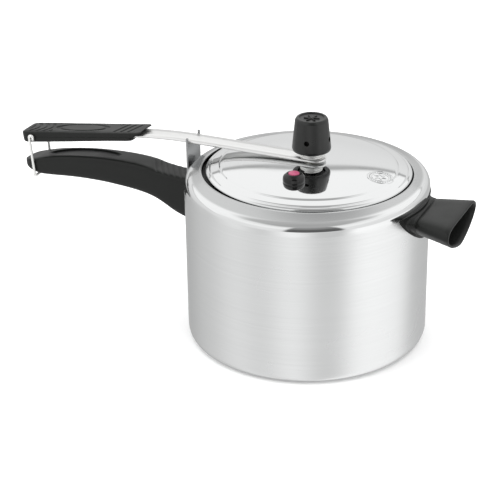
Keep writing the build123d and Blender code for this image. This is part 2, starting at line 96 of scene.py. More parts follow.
# direction turned so that the camera stands at azimuth 0; azimuth and elevation become 0 to 1
way = node(sky, "ShaderNodeTexCoord").outputs["Generated"]
camera_turn = math.atan2(-LOOK.y, -LOOK.x)
turned = node(sky, "ShaderNodeVectorRotate", {"Vector": way}, rotation_type="Z_AXIS", Angle=-camera_turn)
split = node(sky, "ShaderNodeSeparateXYZ", {0: turned.outputs[0]})
azimuth = math_node(sky, "ARCTAN2", split.outputs["Y"], split.outputs["X"])
azimuth = math_node(sky, "ADD", math_node(sky, "MULTIPLY", azimuth, 0.5 / math.pi), 0.5)
elevation = math_node(sky, "ARCSINE", split.outputs["Z"])
elevation = math_node(sky, "ADD", math_node(sky, "MULTIPLY", elevation, 1 / math.pi), 0.5)


def turn(degrees):
    """Azimuth from the camera, to its right as seen in the pot's reflection, on the 0 to 1 scale."""
    return 0.5 + degrees / 360


def height(degrees):
    """Elevation on the 0 to 1 scale."""
    return 0.5 + degrees / 180


low_bands = ramp(sky, azimuth, [
    (turn(-178), 0.50), (turn(-150), 0.52), (turn(-110), 0.70), (turn(-70), 0.93), (turn(-44), 0.78),
    (turn(-16), 1.10), (turn(14), 0.70), (turn(26), 0.70), (turn(46), 1.22), (turn(92), 1.14),
    (turn(118), 0.62), (turn(178), 0.56)])
front_up = ramp(sky, elevation, [
    (height(-2), 0.90), (height(30), 0.95), (height(44), 1.10), (height(58), 1.0), (height(72), 0.48),
    (1.0, 0.45)])
back_up = ramp(sky, elevation, [
    (height(-2), 0.78), (height(12), 0.84), (height(24.2), 0.92), (height(24.8), 0.40), (height(25.4), 0.40),
    (height(26.2), 1.12), (height(52), 1.12), (height(66), 0.55), (1.0, 0.45)])
behind = ramp(sky, azimuth, [(turn(-105), 1.0), (turn(-85), 0.0), (turn(85), 0.0), (turn(105), 1.0)])
above = ramp(sky, elevation, [(height(-3), 0.0), (height(3), 1.0)])
flag_side = ramp(sky, azimuth, [(turn(-25), 0.0), (turn(-20), 1.0), (turn(28), 1.0), (turn(33), 0.0)])
flag_rise = ramp(sky, elevation, [
    (height(3), 0.0), (height(6), 1.0), (height(34), 1.0), (height(58), 0.8), (height(74), 0.0)])
upper = node(sky, "ShaderNodeMix", {"Factor": behind, "A": front_up, "B": back_up})
room = node(sky, "ShaderNodeMix", {"Factor": above, "A": low_bands, "B": upper.outputs[0]})
flag = math_node(sky, "MULTIPLY", math_node(sky, "MULTIPLY", flag_side, flag_rise), 0.86)
seen = math_node(sky, "MULTIPLY", room.outputs[0], math_node(sky, "SUBTRACT", 1.0, flag))
to_camera = node(sky, "ShaderNodeLightPath").outputs["Is Camera Ray"]
level = node(sky, "ShaderNodeMix", {"Factor": to_camera, "A": seen, "B": 1.0})
backdrop = node(sky, "ShaderNodeBackground", {"Strength": level.outputs[0]})
backdrop.inputs["Color"].default_value = (1, 1, 1, 1)
node(sky, "ShaderNodeOutputWorld", {"Surface": backdrop.outputs[0]})

floor_mesh = bpy.data.meshes.new("studio_floor")
floor_mesh.from_pydata([(-6, -6, 0), (6, -6, 0), (6, 6, 0), (-6, 6, 0)], [], [(0, 1, 2, 3)])
floor = bpy.data.objects.new("studio_floor", floor_mesh)
floor.location.z = -0.0004
floor.visible_glossy = False
bpy.context.scene.collection.objects.link(floor)
paper = bpy.data.materials.new("white_paper_sweep")
paper.use_nodes = True
paper.node_tree.nodes["Principled BSDF"].inputs["Base Color"].default_value = linear("#F6F6F6")
paper.node_tree.nodes["Principled BSDF"].inputs["Roughness"].default_value = 0.9
floor_mesh.materials.append(paper)

SOFTBOXES = (("overhead", (0.0, 0.1, 1.9), 2.4, 42.0), ("front_left", (-1.3, -1.5, 1.3), 1.2, 11.0),
             ("front_right", (1.6, -0.9, 1.2), 1.2, 9.0))
for label, place, width, watts in SOFTBOXES:
    data = bpy.data.lights.new("softbox_" + label, "AREA")
    data.shape = "SQUARE"
    data.size = width
    data.energy = watts
    lamp = bpy.data.objects.new("softbox_" + label, data)
    lamp.location = place
    lamp.rotation_euler = (Vector((0, 0, 0.07)) - Vector(place)).to_track_quat("-Z", "Y").to_euler()
    lamp.visible_glossy = False
    bpy.context.scene.collection.objects.link(lamp)

camera_data = bpy.data.cameras.new("camera")
camera_data.sensor_width = 36.0
camera_data.lens = 115.2
camera = bpy.data.objects.new("camera", camera_data)
aim = LOOK.to_track_quat("-Z", "Y").to_matrix().to_4x4()
camera.rotation_euler = aim.to_euler()
camera.rotation_euler.rotate_axis("Z", ROLL)
camera.location = CAMERA_AT
bpy.context.scene.collection.objects.link(camera)
bpy.context.scene.camera = camera
bpy.context.scene.view_settings.view_transform = "Standard"

# ---------------------------------------------------------------------------------------------
# Pot: one deep shell spun from aluminium sheet, its mouth turned inwards to a flat, brushed rim.
# The wall is lathe-finished, so fine rings run round it and reflections smear up and down.
POT_RINGS = 224


def mesh_piece(name, verts_mm, faces):
    """A new smooth-shaded object from vertices in millimetres and faces, with outward normals."""
    data = bpy.data.meshes.new(name)
    data.from_pydata([tuple(c * MM for c in v) for v in verts_mm], [], faces)
    work = bmesh.new()
    work.from_mesh(data)
    bmesh.ops.remove_doubles(work, verts=work.verts, dist=1e-7)
    bmesh.ops.recalc_face_normals(work, faces=work.faces)
    work.to_mesh(data)
    work.free()
    data.polygons.foreach_set("use_smooth", [True] * len(data.polygons))
    piece = bpy.data.objects.new(name, data)
    bpy.context.scene.collection.objects.link(piece)
    return piece


def rounded(points, steps=5):
    """A polyline of (across, up, corner radius) points with each corner turned into an arc."""
    path = []
    for i, (r, z, radius) in enumerate(points):
        here = Vector((r, z))
        if not radius or i in (0, len(points) - 1):
            path.append((r, z))
            continue
        back = Vector(points[i - 1][:2]) - here
        ahead = Vector(points[i + 1][:2]) - here
        half = back.angle(ahead) / 2
        cut = min(radius / math.tan(half), back.length * 0.49, ahead.length * 0.49)
        start, end = here + back.normalized() * cut, here + ahead.normalized() * cut
        for k in range(steps + 1):
            t = k / steps
            path.append(tuple((1 - t) ** 2 * start + 2 * t * (1 - t) * here + t ** 2 * end))
    return path


def bezier(p0, p1, p2, p3, steps=12):
    """Points along a cubic curve."""
    corners = [Vector(p) for p in (p0, p1, p2, p3)]
    path = []
    for k in range(steps + 1):
        t = k / steps
        weights = ((1 - t) ** 3, 3 * t * (1 - t) ** 2, 3 * t * t * (1 - t), t ** 3)
        path.append(tuple(sum((w * c for w, c in zip(weights, corners)), Vector((0, 0)))))
    return path


def spun(name, profile, centre=(0.0, 0.0), rings=96):
    """A turned piece: a closed profile of (radius, height) points spun about a vertical line."""
    verts, faces, start = [], [], []
    for r, z in profile:
        start.append(len(verts))
        count = 1 if r < 1e-6 else rings
        for k in range(count):
            a = 2 * math.pi * k / rings
            verts.append((centre[0] + r * math.cos(a), centre[1] + r * math.sin(a), z))
    for i in range(len(profile)):
        j = (i + 1) % len(profile)
        one, two = profile[i][0] < 1e-6, profile[j][0] < 1e-6
        if one and two:
            continue
        for k in range(rings):
            n = (k + 1) % rings
            a, b = start[i] + (0 if one else k), start[i] + (0 if one else n)
            c, d = start[j] + (0 if two else n), start[j] + (0 if two else k)
            faces.append(tuple(dict.fromkeys((a, b, c, d))))
    return mesh_piece(name, verts, faces)


def wear(tree, scale_mm, low, high, detail=3.0):
    """Slow unevenness in a surface, as a value between low and high."""
    coordinates = node(tree, "ShaderNodeTexCoord").outputs["Object"]
    fineness = 1 / (scale_mm * MM)
    noise = node(tree, "ShaderNodeTexNoise", {"Vector": coordinates}, Scale=fineness, Detail=detail)
    spread = node(tree, "ShaderNodeMapRange", {"Value": noise.outputs[0]}, From_Min=0.3, From_Max=0.7)
    spread.inputs["To Min"].default_value = low
    spread.inputs["To Max"].default_value = high
    return spread.outputs[0]


def new_material(name):
    """An empty node material and its principled shader."""
    made = bpy.data.materials.new(name)
    made.use_nodes = True
    return made, made.node_tree, made.node_tree.nodes["Principled BSDF"]


def bump(tree, shader, height_value, depth_mm, strength):
    """Fine relief in a surface that the mesh itself does not carry."""
    relief = node(tree, "ShaderNodeBump", {"Height": height_value}, Strength=strength, Distance=depth_mm * MM)
    tree.links.new(relief.outputs[0], shader.inputs["Normal"])


def lathe_grooves(tree, pitch_mm):
    """Fine rings left by a lathe tool, around the pot's axis and up its wall."""
    coordinates = node(tree, "ShaderNodeTexCoord").outputs["Object"]
    flat = node(tree, "ShaderNodeVectorMath", {0: coordinates}, operation="MULTIPLY")
    flat.inputs[1].default_value = (1, 1, 0)
    radius = node(tree, "ShaderNodeVectorMath", {0: flat.outputs[0]}, operation="LENGTH").outputs["Value"]
    parts = node(tree, "ShaderNodeSeparateXYZ", {0: coordinates})
    round_the_wall = math_node(tree, "ADD", parts.outputs["X"], parts.outputs["Y"])
    joined = node(tree, "ShaderNodeCombineXYZ", {
        "X": math_node(tree, "MULTIPLY", radius, 1 / (pitch_mm * MM)),
        "Y": math_node(tree, "MULTIPLY", parts.outputs["Z"], 1 / (pitch_mm * MM)),
        "Z": math_node(tree, "MULTIPLY", round_the_wall, 6.0)})
    return node(tree, "ShaderNodeTexNoise", {"Vector": joined.outputs[0]}, Scale=1.0, Detail=2.0).outputs[0]


# spun aluminium, satin lathe finish: grey-white metal, rings 0.5 mm apart drawn coarse enough to show.
# The turned-in shoulder is buffed, and the flat rim inside it is left brushed and greyer.
POLISH_FROM, POLISH_TO = 0.1325, 0.1355
RIM_EDGE, RIM_FLAT = 0.0975, 0.0955
pot_metal, tree, shader = new_material("spun_aluminium_satin")
grooves = lathe_grooves(tree, 0.55)
tint = node(tree, "ShaderNodeMix", {"Factor": grooves}, data_type="RGBA")
tint.inputs[6].default_value = linear("#DFE0E0")
tint.inputs[7].default_value = linear("#EAEBEB")
shader.inputs["Metallic"].default_value = 1.0
shader.inputs["Anisotropic"].default_value = 0.7
rough = math_node(tree, "ADD", wear(tree, 60, 0.0, 0.04), 0.24)
spot = node(tree, "ShaderNodeSeparateXYZ", {0: node(tree, "ShaderNodeTexCoord").outputs["Object"]})
across = math_node(tree, "SQRT", math_node(tree, "ADD", math_node(tree, "POWER", spot.outputs["X"], 2.0),
                                           math_node(tree, "POWER", spot.outputs["Y"], 2.0)))
rising = node(tree, "ShaderNodeMapRange", {"Value": spot.outputs["Z"]},
              From_Min=POLISH_FROM, From_Max=POLISH_TO)
shoulder = rising.outputs[0]
narrowing = node(tree, "ShaderNodeMapRange", {"Value": across}, From_Min=RIM_EDGE, From_Max=RIM_FLAT)
brushed_rim = narrowing.outputs[0]
polish = math_node(tree, "MULTIPLY", shoulder, math_node(tree, "SUBTRACT", 1.0, brushed_rim))
finish_rough = node(tree, "ShaderNodeMix", {"Factor": shoulder, "A": rough, "B": 0.17})
finish_rough = node(tree, "ShaderNodeMix", {"Factor": polish, "A": finish_rough.outputs[0], "B": 0.07})
tree.links.new(finish_rough.outputs[0], shader.inputs["Roughness"])
rim_share = math_node(tree, "MULTIPLY", shoulder, brushed_rim)
rim_tint = node(tree, "ShaderNodeMix", {"Factor": rim_share}, data_type="RGBA")
tree.links.new(tint.outputs[2], rim_tint.inputs[6])
rim_tint.inputs[7].default_value = linear("#C2C3C3")
tree.links.new(rim_tint.outputs[2], shader.inputs["Base Color"])
round_axis = node(tree, "ShaderNodeTangent", direction_type="RADIAL", axis="Z")
tree.links.new(round_axis.outputs[0], shader.inputs["Tangent"])
bump(tree, shader, grooves, 0.006, 0.4)


WALL_R, SIDE_R, INNER_R, MOUTH_R = 103.0, 102.99, 100.8, 88.3
OVAL_FROM_Z, OVAL_FULL_Z = 134.0, 140.0
OVAL_LONGER, OVAL_SHORTER = 0.014, 0.060


def draw_oval(shell):
    """Draw the round mouth into an oval, so that the lid can be tilted in and turned."""
    for vertex in shell.data.vertices:
        x, y, z = (c / MM for c in vertex.co)
        inward = min(max((WALL_R - math.hypot(x, y)) / (WALL_R - MOUTH_R), 0.0), 1.1)
        inward *= min(max((z - OVAL_FROM_Z) / (OVAL_FULL_Z - OVAL_FROM_Z), 0.0), 1.0)
        vertex.co.x *= 1 + OVAL_LONGER * inward
        vertex.co.y *= 1 - OVAL_SHORTER * inward ** 0.9


outer = ([(0, 0.8)]
         + rounded([(78, 0.8, 0), (84, 0.8, 2), (86, 0.0, 1.5), (SIDE_R, 0.0, 8), (SIDE_R, 60, 0)], 8)
         + bezier((SIDE_R, 136.0), (SIDE_R, 140.2), (100.6, 142.6), (98.0, 143.6), 10)
         + rounded([(95.2, 144.7, 0), (90.4, 146.9, 2), (MOUTH_R, 147.0, 1.0), (88.2, 145.4, 0)], 5))
inner = rounded([(MOUTH_R, 145.0, 0), (97.2, 141.2, 4), (INNER_R, 136.0, 5), (INNER_R, 60, 0)], 6)
inner += rounded([(INNER_R, 40, 0), (INNER_R, 2.6, 6), (60, 2.6, 0)], 8) + [(0, 2.6)]
pot = spun("pot_shell", outer + inner, rings=POT_RINGS)
draw_oval(pot)
pot.data.materials.append(pot_metal)
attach(pot, "pot")
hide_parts("pot_body")

# ---------------------------------------------------------------------------------------------
# Fulcrum bracket: stamped from bright steel strip, forked at the top to hold the lever, its foot
# riveted to the pot wall with aluminium rivets and its tongue screwed inside the long handle.

# rolled steel strip: grey bright metal with fine streaks along the rolling direction
sheet_steel, tree, shader = new_material("rolled_steel_bright")
coordinates = node(tree, "ShaderNodeTexCoord").outputs["Object"]
drawn = node(tree, "ShaderNodeMapping", {"Vector": coordinates})
drawn.inputs["Scale"].default_value = (60, 2600, 2600)
streaks = node(tree, "ShaderNodeTexNoise", {"Vector": drawn.outputs[0]}, Scale=1.0, Detail=3.0).outputs[0]
shader.inputs["Base Color"].default_value = linear("#A4A5A6")
shader.inputs["Metallic"].default_value = 1.0
steel_rough = node(tree, "ShaderNodeMapRange", {"Value": streaks}, From_Min=0.3, From_Max=0.7)
steel_rough.inputs["To Min"].default_value = 0.20
steel_rough.inputs["To Max"].default_value = 0.32
tree.links.new(steel_rough.outputs[0], shader.inputs["Roughness"])
bump(tree, shader, streaks, 0.01, 0.35)

# zinc-plated fasteners: slightly blue-white and uneven, a little duller than bare steel
plated, tree, shader = new_material("zinc_plated_steel")
shader.inputs["Base Color"].default_value = linear("#C9CBCC")
shader.inputs["Metallic"].default_value = 1.0
tree.links.new(wear(tree, 2.0, 0.16, 0.30), shader.inputs["Roughness"])

for name, finish in (("fulcrum_bracket", sheet_steel), ("bracket_rivets", pot_metal),
                     ("helper_stud", pot_metal), ("handle_screw", plated), ("helper_screw", plated),
                     ("grip_screws", plated), ("pin_clip", plated)):
    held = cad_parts[name]
    held.data.materials.clear()
    held.data.materials.append(finish)

# ---------------------------------------------------------------------------------------------
# Long handle: moulded black phenolic, curving up from the bracket and down to the tip, with a
# thumb recess on its back and grip ribs near the pot. Mould polish leaves it semi-gloss.

# moulded phenolic: near-black, a soft highlight and a faint pebble from the mould
bakelite, tree, shader = new_material("phenolic_semi_gloss")
shader.inputs["Base Color"].default_value = linear("#1A1B1A")
shader.inputs["Specular IOR Level"].default_value = 0.22
grain_at = node(tree, "ShaderNodeTexCoord").outputs["Object"]
pebble = node(tree, "ShaderNodeTexNoise", {"Vector": grain_at}, Scale=1 / (0.45 * MM), Detail=2.0).outputs[0]
tree.links.new(wear(tree, 18, 0.30, 0.40), shader.inputs["Roughness"])
bump(tree, shader, pebble, 0.02, 0.25)

HANDLE_LINE = (  # x, underside, top, half width
    (-106.9, 86.0, 125.3, 13.0), (-114.0, 88.0, 125.2, 13.0), (-122.0, 91.4, 125.7, 13.0),
    (-130.0, 96.0, 126.4, 13.0), (-138.0, 100.0, 127.5, 13.0), (-146.0, 102.6, 129.4, 13.0),
    (-155.0, 104.3, 130.5, 13.0), (-165.0, 105.5, 131.0, 13.0), (-175.0, 106.3, 131.1, 13.0),
    (-190.0, 107.1, 130.6, 13.0), (-206.0, 107.2, 129.4, 13.0), (-222.0, 106.6, 127.5, 12.9),
    (-235.0, 105.6, 125.4, 12.8), (-246.0, 104.7, 123.2, 12.8), (-256.0, 104.5, 120.6, 12.8),
    (-262.0, 105.9, 118.8, 12.6), (-266.0, 107.2, 117.7, 11.9), (-269.0, 108.5, 116.8, 10.4),
    (-271.5, 109.7, 116.0, 8.0), (-273.4, 110.6, 115.2, 5.0))


def along(table, x, column):
    """Smooth value of a column of a table at x, by a cubic through the neighbouring rows."""
    rows = sorted(table)
    x = min(max(x, rows[0][0]), rows[-1][0])
    k = max(i for i in range(len(rows) - 1) if rows[i][0] <= x)
    span = rows[k + 1][0] - rows[k][0]
    t = (x - rows[k][0]) / span
    def slope(i):
        a, b = rows[max(i - 1, 0)], rows[min(i + 1, len(rows) - 1)]
        return (b[column] - a[column]) / (b[0] - a[0])
    y0, y1 = rows[k][column], rows[k + 1][column]
    m0, m1 = slope(k) * span, slope(k + 1) * span
    return ((2 * t ** 3 - 3 * t * t + 1) * y0 + (t ** 3 - 2 * t * t + t) * m0
            + (3 * t * t - 2 * t ** 3) * y1 + (t ** 3 - t * t) * m1)


def ease(value, low, high):
    """0 below low, 1 above high, smooth between."""
    t = min(max((value - low) / (high - low), 0.0), 1.0)
    return t * t * (3 - 2 * t)


def lofted(name, rings_of_points):
    """A skin through rings that have equally many points, closed at both ends."""
    count = len(rings_of_points[0])
    verts = [p for ring in rings_of_points for p in ring]
    faces = []
    for i in range(len(rings_of_points) - 1):
        for k in range(count):
            n = (k + 1) % count
            faces.append((i * count + k, i * count + n, (i + 1) * count + n, (i + 1) * count + k))
    for ring in (0, len(rings_of_points) - 1):
        points = rings_of_points[ring]
        verts.append(tuple(sum(p[axis] for p in points) / count for axis in range(3)))
        middle = len(verts) - 1
        faces += [(ring * count + k, ring * count + (k + 1) % count, middle) for k in range(count)]
    return mesh_piece(name, verts, faces)


def squared_circle(angle, half_width, half_height, power):
    """A point on a rounded rectangle, at an angle from its centre."""
    c, s = math.cos(angle), math.sin(angle)
    reach = (abs(c / half_width) ** power + abs(s / half_height) ** power) ** (-1 / power)
    return reach * c, reach * s


HANDLE_RING = 176
HANDLE_STATIONS = 320
RECESS_FROM, RECESS_TO, RECESS_HALF, RECESS_DEPTH = -252.0, -176.0, 8.6, 1.6
RIDGE_PITCH, RIDGE_DEPTH = 5.8, 0.6


def handle_point(x, angle):
    """A point of the handle's skin, with the recess and the ribs let into its back."""
    low, top, half = (along(HANDLE_LINE, x, column) for column in (1, 2, 3))
    y, rise = squared_circle(angle, half, (top - low) / 2, 8.0 if math.sin(angle) > 0 else 5.0)
    z = (low + top) / 2 + rise
    if rise > 0:
        upward = ease(rise / ((top - low) / 2), 0.75, 0.95)
        middle = (RECESS_FROM + RECESS_TO) / 2
        reach = math.hypot((x - middle) / ((RECESS_TO - RECESS_FROM) / 2), y / RECESS_HALF)
        z -= RECESS_DEPTH * (1 - ease(reach, 0.84, 1.0)) * upward
        phase = ((x + 0.62 * y) / RIDGE_PITCH) % 1
        notch = ease(phase, 0.0, 0.18) * (1 - ease(phase, 0.3, 0.48)) * (1 - ease(abs(y), 10.6, 11.8))
        where = ease(x + 0.62 * y, -148, -145) * (1 - ease(x, -112, -108))
        z -= RIDGE_DEPTH * notch * where * upward
    return x, y, z


HANDLE_ROOT, HANDLE_TIP = HANDLE_LINE[0][0], HANDLE_LINE[-1][0]
stations = [HANDLE_ROOT + (HANDLE_TIP - HANDLE_ROOT) * (1 - (1 - k / HANDLE_STATIONS) ** 1.5)
            for k in range(HANDLE_STATIONS + 1)]
rings = [[handle_point(x, 2 * math.pi * k / HANDLE_RING) for k in range(HANDLE_RING)] for x in stations]
tip_middle = sum(HANDLE_LINE[-1][1:3]) / 2
for shrink in (0.94, 0.82, 0.62, 0.35):
    x = HANDLE_TIP - 1.2 * math.sqrt(1 - shrink ** 2)
    rings.append([(x, p[1] * shrink, tip_middle + (p[2] - tip_middle) * shrink)
                  for p in rings[HANDLE_STATIONS]])
handle = lofted("long_handle_grip", rings)
handle.data.materials.append(bakelite)
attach(handle, "pot")
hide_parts("long_handle")

# ---------------------------------------------------------------------------------------------
# Helper handle: a short hollow scoop of the same phenolic, open at its outer end, with a flared
# pad that follows the pot's wall. A screw inside the hollow holds it to a stud.
SCOOP_RING, PAD_HALF = 160, 38.2


def scoop_ring(half, top, low, x_of, tip=1.3, power=1.5):
    """One section: flat above with rounded tips, and a deep belly below."""
    depth = top - tip - low
    soft = 14 if tip < 3 else 7
    points = []
    for k in range(SCOOP_RING):
        a = 2 * math.pi * k / SCOOP_RING
        share = abs(math.cos(a))
        if math.sin(a) >= 0:
            z = top - tip + tip * (1 - share ** soft) ** 0.5
        else:
            z = top - tip - depth * (1 - share ** power) ** (1 / power)
        y = half * math.cos(a)
        points.append((x_of(y, z), y, z))
    return points


def wall_x(gap):
    """How far out a pad lies that follows the wall, gap mm off it and closer at its ends."""
    return lambda y, z: math.sqrt((WALL_R + gap * max(1 - (abs(y) / PAD_HALF) ** 4, 0.1)) ** 2 - y * y)


def flat_x(x):
    """How far out a flat section lies: the same everywhere."""
    return lambda y, z: x


def blend_ring(one, two, t):
    """A section between two others."""
    return [tuple(a + (b - a) * t for a, b in zip(p, q)) for p, q in zip(one, two)]


def half_at(x):
    """Half width of the scoop, which widens towards its open end."""
    return 27.4 + (x - 105.2) * 0.326


pad_edge = scoop_ring(PAD_HALF, 133.8, 103.6, wall_x(0.1), 1.3, 1.3)
pad_lip = scoop_ring(38.0, 133.6, 103.8, wall_x(1.0), 1.3, 1.3)
root = scoop_ring(28.2, 130.6, 107.6, flat_x(104.5), 5.0)
groove = scoop_ring(26.8, 129.7, 108.6, flat_x(105.3), 5.0)
collar = scoop_ring(half_at(106.2), 130.6, 107.8, flat_x(106.2), 6.0)
end = scoop_ring(half_at(135.6), 131.2, 103.6, flat_x(135.4), 8.5)
lip = scoop_ring(half_at(136.2) - 0.5, 130.7, 104.1, flat_x(136.35), 8.2)
lip_in = scoop_ring(half_at(136.2) - 2.0, 129.4, 105.4, flat_x(136.5), 7.4)
inner_lip = scoop_ring(half_at(136.2) - 2.9, 128.7, 106.1, flat_x(135.8), 6.8)
inner_root = scoop_ring(half_at(114.0) - 3.4, 127.6, 109.6, flat_x(114.0), 4.6)
web = scoop_ring(half_at(112.5) - 5.6, 124.8, 111.4, flat_x(112.5), 3.2)
scoop = [pad_edge, pad_lip]
for step in range(1, 8):
    shrink = 1 - (1 - step / 8) ** 2.2
    scoop.append([(p[0] + (q[0] - p[0]) * (step / 8) ** 1.9, p[1] + (q[1] - p[1]) * shrink,
                   p[2] + (q[2] - p[2]) * shrink) for p, q in zip(pad_lip, root)])
scoop += [root, blend_ring(root, groove, 0.5), groove, blend_ring(groove, collar, 0.6), collar]
scoop += [blend_ring(collar, end, t / 8) for t in range(1, 8)]
scoop += [end, lip, lip_in, inner_lip] + [blend_ring(inner_lip, inner_root, t / 6) for t in range(1, 6)]
scoop += [inner_root, web]
for ring in scoop:
    for k, (x, y, z) in enumerate(ring):
        wall = math.sqrt((WALL_R + 0.1) ** 2 - y * y)
        if x < wall:
            ring[k] = (wall, y, z)
helper = lofted("helper_scoop", scoop)
helper.data.materials.append(bakelite)
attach(helper, "pot")
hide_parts("helper_handle")

# ---------------------------------------------------------------------------------------------
# Lever bar: flat spring-steel strip with rounded edges, level over the lid and bowed down towards
# the grip. It is rolled along its length, so its fine streaks run that way.
PIVOT_X, BAR_Z, BAR_HALF, BAR_TIP = -106.0, 158.7, 10.0, 16.5
BOW_RADIUS, BOW_ANGLE = 404.0, math.radians(8.5)
BAR_STRAIGHT, STRIP_HALF = 106.0, 1.0
OUT = Vector((-math.cos(BOW_ANGLE), 0, -math.sin(BOW_ANGLE)))
UP = Vector((-math.sin(BOW_ANGLE), 0, math.cos(BOW_ANGLE)))


def bow_point(angle):
    """Centre of the bar where its bow has turned by angle."""
    return Vector((PIVOT_X - BOW_RADIUS * math.sin(angle), 0, BAR_Z - BOW_RADIUS * (1 - math.cos(angle))))


def bar_place(s):
    """Centre and upward direction of the bar, s mm from its tip over the lid."""
    level = BAR_TIP - PIVOT_X
    if s <= level:
        return Vector((BAR_TIP - s, 0, BAR_Z)), Vector((0, 0, 1))
    angle = min((s - level) / BOW_RADIUS, BOW_ANGLE)
    rest = max(s - level - BOW_RADIUS * BOW_ANGLE, 0)
    return bow_point(angle) + OUT * rest, Vector((-math.sin(angle), 0, math.cos(angle)))


BOW_END = bow_point(BOW_ANGLE)
BAR_LENGTH = BAR_TIP - PIVOT_X + BOW_RADIUS * BOW_ANGLE + BAR_STRAIGHT
stations = [BAR_HALF * (1 - math.cos(math.pi / 2 * k / 14)) for k in range(1, 15)]
stations += [BAR_HALF + (BAR_LENGTH - 2 * BAR_HALF) * k / 90 for k in range(1, 91)]
stations += [BAR_LENGTH - BAR_HALF * (1 - math.sin(math.pi / 2 * k / 14)) for k in range(1, 14)]
rings = []
for s in stations:
    near_end = min(s, BAR_LENGTH - s, BAR_HALF)
    half = math.sqrt(max(BAR_HALF ** 2 - (BAR_HALF - near_end) ** 2, 0.04))
    centre, up = bar_place(s)
    ring = []
    for k in range(32):
        y, v = squared_circle(2 * math.pi * (k + 0.5) / 32, half, STRIP_HALF, 7.0 if half > 3 else 3.0)
        ring.append(tuple(centre + Vector((0, y, 0)) + up * v))
    rings.append(ring)

# spring steel, satin rolled: almost white under a soft light, with faint lines along the bar
strip_steel, tree, shader = new_material("spring_steel_satin")
strip_at = node(tree, "ShaderNodeTexCoord").outputs["Object"]
rolled = node(tree, "ShaderNodeMapping", {"Vector": strip_at})
rolled.inputs["Scale"].default_value = (25, 900, 900)
lines = node(tree, "ShaderNodeTexNoise", {"Vector": rolled.outputs[0]}, Scale=1.0, Detail=2.0).outputs[0]
shader.inputs["Base Color"].default_value = linear("#F3F3F2")
shader.inputs["Metallic"].default_value = 1.0
satin_rough = node(tree, "ShaderNodeMapRange", {"Value": lines}, From_Min=0.3, From_Max=0.7)
satin_rough.inputs["To Min"].default_value = 0.34
satin_rough.inputs["To Max"].default_value = 0.40
tree.links.new(satin_rough.outputs[0], shader.inputs["Roughness"])
bump(tree, shader, lines, 0.004, 0.3)
bar = lofted("lever_strip", rings)
bar.data.materials.append(strip_steel)
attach(bar, "lever")
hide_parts("lever_bar")

# ---------------------------------------------------------------------------------------------
# Grip: two moulded phenolic halves screwed together over the end of the bar. The upper half is
# embossed with chevron ribs at both ends and a long oval panel between them.
GRIP_FROM, GRIP_TO, GRIP_HALF = -15.0, 108.6, 12.6
GRIP_STATIONS, GRIP_RING = 300, 144
PANEL_FROM, PANEL_TO, PANEL_HALF = 22.0, 76.0, 8.2
RIB_PITCH, RIB_HEIGHT = 7.1, 0.8


def emboss(u, w):
    """Depth of the moulded pattern in the upper half, u mm along and w mm across."""
    reach = math.hypot((u - (PANEL_FROM + PANEL_TO) / 2) / ((PANEL_TO - PANEL_FROM) / 2), w / PANEL_HALF)
    panel = ease(reach, 0.80, 0.88) * (1 - ease(reach, 0.98, 1.06))
    edge = ease(abs(w), 10.5, 10.8) * (1 - ease(abs(w), 11.2, 11.5))
    edge *= (1 - ease(u, 101, 104)) * ease(u, -8, -5)
    inside = 1 - ease(abs(w), 9.4, 10.2)
    if u < 40:
        phase = (u + w * 0.32) / RIB_PITCH % 1
        ends = ease(u, -9, -8) * (1 - ease(u, 12, 14))
    else:
        phase = (u - 0.06 * w * w) / RIB_PITCH % 1
        ends = ease(u, 76, 77) * (1 - ease(u, 101, 103))
    notch = ease(phase, 0.0, 0.16) * (1 - ease(phase, 0.34, 0.5)) * ends
    return RIB_HEIGHT * max(inside * max(notch, panel), 0.7 * edge)


def grip_shell(name, side, thin, thick, start, slant):
    """One half of the grip: blunt rounded tip, square-edged sides, and a nose slanting back."""
    rings = []
    for k in range(GRIP_STATIONS + 1):
        u = start + (GRIP_TO - start) * k / GRIP_STATIONS
        depth = thin + (thick - thin) * ease(u, 0, 100)
        tip = min(GRIP_TO - u, 8.0) / 8.0
        blunt = math.sqrt(max(1 - (1 - tip) ** 2, 0.0))
        half = GRIP_HALF - 6.5 * (1 - blunt)
        top = depth * (0.62 + 0.38 * min(blunt * 1.25, 1.0))
        nose = min(u - start, 4.0) / 4.0
        half -= 2.4 * (1 - math.sqrt(max(1 - (1 - nose) ** 2, 0.0)))
        ring = []
        for j in range(GRIP_RING):
            w, v = squared_circle(2 * math.pi * j / GRIP_RING, half, top, 9.0)
            v = max(v, 0.1)
            if side > 0 and v > top * 0.85:
                v -= emboss(u, w) * ease(v / top, 0.85, 0.97)
            push = slant * (1 - ease(v / top, 0.0, 0.75)) * (1 - ease(u - start, 0, 16))
            ring.append(tuple(BOW_END + OUT * (u + push) + Vector((0, w, 0)) + UP * (v * side)))
        rings.append(ring)
    return lofted(name, rings)


upper = grip_shell("grip_top_half", 1, 4.4, 5.3, GRIP_FROM, 6.5)
lower = grip_shell("grip_bottom_half", -1, 3.6, 5.2, GRIP_FROM + 10, 0.0)
for half, cad in ((upper, "grip_upper"), (lower, "grip_lower")):
    half.data.materials.append(bakelite)
    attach(half, "lever")
    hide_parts(cad)

# ---------------------------------------------------------------------------------------------
# Bail: zinc-plated wire bent into a U, its ends hooked over beside the grip and held on two pins
# that sit in the grip. Its bottom bar catches under the tip of the long handle.
WIRE_R, BAIL_HALF = 1.2, 14.6

